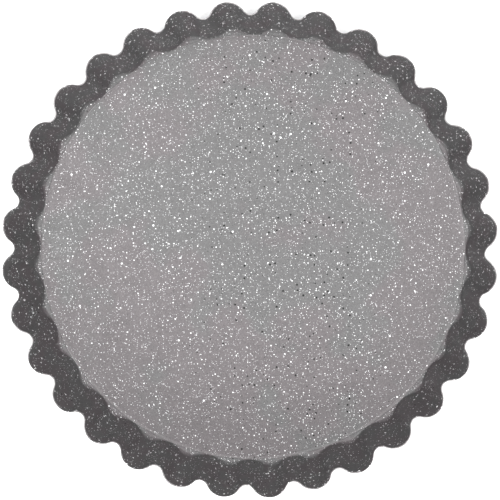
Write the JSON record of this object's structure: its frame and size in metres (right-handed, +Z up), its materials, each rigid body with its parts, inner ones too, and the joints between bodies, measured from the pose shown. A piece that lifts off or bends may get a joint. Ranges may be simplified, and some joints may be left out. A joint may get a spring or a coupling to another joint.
{
  "type": "tart pan",
  "caption": "Round fluted tart pan in speckled grey coated steel, with a leaning fluted wall ring and a loose flat base that lifts out.",
  "frame": {"origin": "middle of the circle that the pan stands on, at the underside of the ledge", "axes": "+Z up through the open top; the middle of an inward lobe of the wall lies on +X"},
  "size_m": [0.2786, 0.2786, 0.035],
  "materials": {
    "ring_coating": "matt grey non-stick coating with fine white specks",
    "base_coating": "matt grey non-stick coating with white specks and a few black ones"
  },
  "bodies": {
    "ring": {"fluted_ring": "ring_coating"},
    "base": {"base_disc": "base_coating"}
  },
  "joints": [
    {"name": "base_lift", "type": "slide", "parent": "ring", "child": "base", "axis": [0, 0, 1], "range_m": [0, 0.05]}
  ]
}
